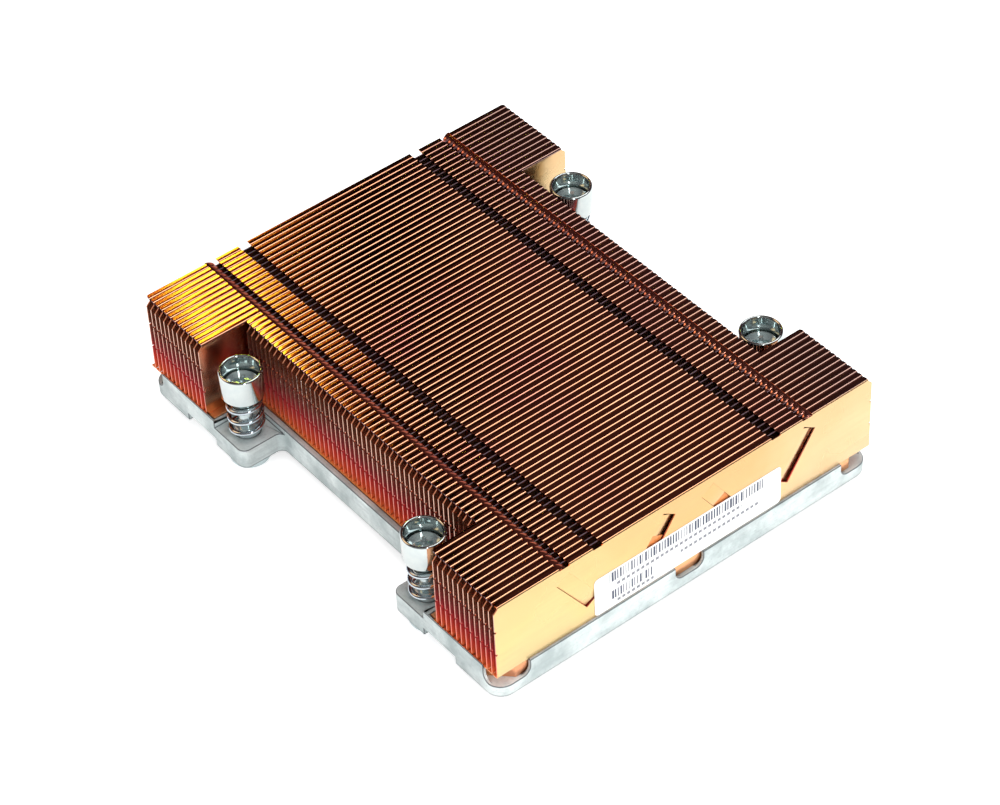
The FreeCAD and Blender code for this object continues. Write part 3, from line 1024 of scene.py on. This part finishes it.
print("turning cups, screws and sleeves")
cup = paint(turned("cup", cupOutline, 72), [platedCup])
smooth(cup, 30)
sleeve = paint(turned("sleeve", sleeveOutline, 56), [screwSteel])
smooth(sleeve, 30)
screw = paint(makeScrew(), [screwSteel])
spring = paint(makeSpring(), [springSteel])
for corner in corners:
    low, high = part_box("spring_cup_" + corner)
    x, y = (low.x + high.x) / 2, (low.y + high.y) / 2
    place = (x, y, 0)
    ending = "".join(word.capitalize() for word in corner.split("_"))
    turn = Matrix.Rotation(random.uniform(-0.2, 0.2), 4, "Z")
    tube = copyAt(sleeve, "work", place)
    dress(tube, "retainingSleeve" + ending, "heatsink", "plated_steel", "retaining_sleeve_" + corner)
    dress(copyAt(cup, "work", place), "springCup" + ending, "cup_" + corner, "plated_cups", "spring_cup_" + corner)
    turnedScrew = copyAt(screw, "work")
    turnedScrew.data.transform(Matrix.Translation(place) @ turn)
    dress(turnedScrew, "captiveScrew" + ending, "screw_" + corner, "plated_steel", "captive_screw_" + corner)
    coil = copyAt(spring, "work", place)
    dress(coil, "coilSpring" + ending, "heatsink", "spring_wire", "spring_" + corner)
    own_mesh(coil)
discard(cup, sleeve, screw, spring)
print("screws and springs done")


# Studio

def stageMaterial(name, colour):
    material, tree, shader = newMaterial(name, 1.0, 0.0)
    shader.inputs["Base Color"].default_value = (*colour, 1)
    shader.inputs["Specular IOR Level"].default_value = 0.0
    return material, tree, shader


def whiteForViewers(tree):
    # 1 where the camera, a mirror or glass looks, and 0 where a dull surface gathers light
    path = addNode(tree, "ShaderNodeLightPath").outputs
    seen = maths(tree, "ADD", path["Is Camera Ray"], path["Is Glossy Ray"])
    return maths(tree, "ADD", seen, path["Is Transmission Ray"], clamp=True)


def direction(azimuth, elevation, distance=1.0):
    # azimuth 0 is +X and 90 is +Y
    a, e = math.radians(azimuth), math.radians(elevation)
    return (distance * math.cos(e) * math.cos(a), distance * math.cos(e) * math.sin(a), distance * math.sin(e))


floorLook = {
    "size": 8.0,
    "colour": (0.9, 0.9, 0.9),
    "cameraGlow": 0.25,
    "glow": 0.36,
}


def makeFloor():
    deselectAll()
    bpy.ops.mesh.primitive_plane_add(size=floorLook["size"], location=(0, 0, 0))
    floor = bpy.context.object
    floor.name = "studioFloor"
    material, tree, shader = stageMaterial("paleFloor", floorLook["colour"])
    shader.inputs["Emission Color"].default_value = (1, 1, 1, 1)
    path = addNode(tree, "ShaderNodeLightPath").outputs
    glow = maths(tree, "MULTIPLY", path["Is Camera Ray"], floorLook["cameraGlow"])
    glow = maths(tree, "MULTIPLY_ADD", whiteForViewers(tree), floorLook["glow"], glow)
    tree.links.new(glow, shader.inputs["Emission Strength"])
    floor.data.materials.append(material)


surroundLevel = 0.55  # how bright the world is to dull surfaces


def makeWorld():
    world = bpy.data.worlds.new("paleSurround")
    bpy.context.scene.world = world
    world.use_nodes = True
    tree = world.node_tree
    back = tree.nodes["Background"]
    back.inputs["Color"].default_value = (1, 1, 1, 1)
    level = spread(tree, whiteForViewers(tree), surroundLevel, 1.0, 0.0, 1.0)
    tree.links.new(level, back.inputs["Strength"])


def onlyForMirrors(piece):
    piece.visible_camera = False
    piece.visible_diffuse = False
    piece.visible_shadow = False
    piece.visible_transmission = False


tentLook = {
    "radius": 1.3,
    "drop": 0.002,
    "backWay": (0.6, 0.8, 0),  # along this way the colours run, from the camera's side to the back
    "colourLimits": (-0.6, 0.8),
    "colours": [(0.0, (0.34, 0.33, 0.31)), (0.18, (0.12, 0.12, 0.12)),
                (0.36, (0.022, 0.020, 0.028)), (1.0, (0.050, 0.020, 0.018))],
    "foot": (0.085, 0.065, 0.100),
    "footLevels": (0.12, 0.55),
    # glows that mirrors see: azimuth and elevation, how near to them (as cosines) they start and are full, colour
    "glows": [
        ((139, 24), (0.93, 0.99), (0.72, 0.44, 0.32)),  # rosy, for the sloping cuts of the fins
        ((121, 48), (0.955, 0.985), (2.0, 1.30, 0.70)),  # warmer and higher, for the curled links of the right row
        ((40, 22), (0.955, 0.985), (0.60, 0.36, 0.30)),  # dim, for the sloping links of the left row
    ],
}


def makeTent():
    # a dark tent that only mirrors see: grey on the camera's side, warm and nearly black behind
    deselectAll()
    bpy.ops.mesh.primitive_uv_sphere_add(segments=48, ring_count=24, radius=tentLook["radius"], location=(0, 0, 0))
    tent = bpy.context.object
    tent.name = "darkTent"
    cutAcross(tent, (0, 0, -tentLook["drop"]), (0, 0, -1), clearOuter=True)
    material, tree, shader = stageMaterial("tentCloth", (0, 0, 0))
    shader.inputs["Emission Strength"].default_value = 1.0
    place = vectorMaths(tree, "NORMALIZE", addNode(tree, "ShaderNodeTexCoord").outputs["Object"])
    back = vectorMaths(tree, "DOT_PRODUCT", place, tentLook["backWay"], output="Value")
    colour = ramp(tree, spread(tree, back, 0.0, 1.0, *tentLook["colourLimits"]), tentLook["colours"])
    height = addNode(tree, "ShaderNodeSeparateXYZ", {0: place}).outputs["Z"]
    colour = mixColour(tree, spread(tree, height, 1.0, 0.0, *tentLook["footLevels"]), colour, tentLook["foot"])
    for way, limits, glow in tentLook["glows"]:
        near = vectorMaths(tree, "DOT_PRODUCT", place, direction(*way), output="Value")
        colour = mixColour(tree, spread(tree, near, 0.0, 1.0, *limits), colour, glow)
    tree.links.new(colour, shader.inputs["Emission Color"])
    tent.data.materials.append(material)
    onlyForMirrors(tent)


glintLook = {
    "middle": (0.323, 0.628, 0.662),
    "aim": (-0.034, 0.030, 0.026),
    "size": 0.3,
    "edge": (1.0, 0.34, 0.06),
    "core": (1.0, 1.65, 0.12),
    # half width, half height and strength
    "outer": (0.085, 0.11, 0.85),
    "inner": (0.015, 0.056, 12.0),
}


def makeGlint():
    # a soft yellow glow that only mirrors see, longer than wide. It faces the object
    deselectAll()
    centre = Vector(glintLook["middle"])
    facing = (Vector(glintLook["aim"]) - centre).to_track_quat("Z", "Y").to_euler()
    bpy.ops.mesh.primitive_plane_add(size=1, location=centre, rotation=facing)
    card = bpy.context.object
    card.name = "warmGlint"
    card.scale = (glintLook["size"], glintLook["size"], 1)
    bakePlace(card)
    material, tree, shader = stageMaterial("warmGlintCloth", (0, 0, 0))
    place = addNode(tree, "ShaderNodeTexCoord").outputs["Object"]
    away = vectorMaths(tree, "SUBTRACT", place, centre)

    def fade(wide, tall, strength):
        reach = vectorMaths(tree, "MULTIPLY", away, (1 / wide, 1 / tall, 0))
        reach = vectorMaths(tree, "LENGTH", reach, output="Value")
        limits = {"Value": reach, "From Min": 1.0, "From Max": 0.1, "To Max": strength}
        return addNode(tree, "ShaderNodeMapRange", limits, interpolation_type="SMOOTHERSTEP").outputs["Result"]

    outer, inner = fade(*glintLook["outer"]), fade(*glintLook["inner"])
    share = maths(tree, "DIVIDE", inner, glintLook["inner"][2])
    colour = mixColour(tree, share, glintLook["edge"], glintLook["core"])
    tree.links.new(colour, shader.inputs["Emission Color"])
    tree.links.new(maths(tree, "ADD", outer, inner), shader.inputs["Emission Strength"])
    card.data.materials.append(material)
    onlyForMirrors(card)


# azimuth, elevation and distance, then width and height, then power, and whether mirrors see the lamp
lamps = {
    "overheadSoftbox": ((-13, 64, 1.0), (0.42, 0.75), 2.6, True),
    "stripSoftbox": ((-113, 32, 0.75), (0.06, 0.7), 1.15, True),
    "skyFill": ((-60, 80, 1.1), (0.8, 0.8), 3.0, False),
    "frontFill": ((-75, 16, 0.9), (0.9, 0.3), 4.2, False),
    "leftFill": ((178, 14, 0.9), (0.9, 0.3), 2.2, False),
}


def makeLamp(name, place, size, power, mirrored):
    data = bpy.data.lights.new(name, "AREA")
    data.shape = "RECTANGLE"
    data.size, data.size_y = size
    data.energy = power
    lamp = bpy.data.objects.new(name, data)
    bpy.context.scene.collection.objects.link(lamp)
    lamp.location = place
    lamp.rotation_euler = (-Vector(place)).to_track_quat("-Z", "Y").to_euler()
    lamp.visible_glossy = mirrored


makeFloor()
makeWorld()
makeTent()
makeGlint()
for name, (way, size, power, mirrored) in lamps.items():
    makeLamp(name, direction(*way), size, power, mirrored)
print("studio lit, lamps:", len(lamps))


# Camera, fitted to the straight edges of the object in the photo

cameraView = {
    "lens": 125.31,
    "sensor": 36.0,
    "place": (-0.28942, -0.38949, 0.47317),
    "right": (0.77949, -0.62513, -0.04012),
    "back": (-0.43011, -0.58068, 0.69124),
}


def makeCamera():
    data = bpy.data.cameras.new("photoCamera")
    data.lens = cameraView["lens"]
    data.sensor_width = cameraView["sensor"]
    camera = bpy.data.objects.new("photoCamera", data)
    bpy.context.scene.collection.objects.link(camera)
    right, back = Vector(cameraView["right"]), Vector(cameraView["back"])
    axes = Matrix((right, back.cross(right), back)).transposed()
    camera.matrix_world = Matrix.Translation(cameraView["place"]) @ axes.to_4x4()
    bpy.context.scene.camera = camera


makeCamera()
bpy.context.scene.view_settings.view_transform = "Standard"
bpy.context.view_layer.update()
faces = sum(len(piece.data.polygons) for piece in bpy.data.objects if piece.type == "MESH" and not piece.hide_render)
print("finished, faces shown:", faces)
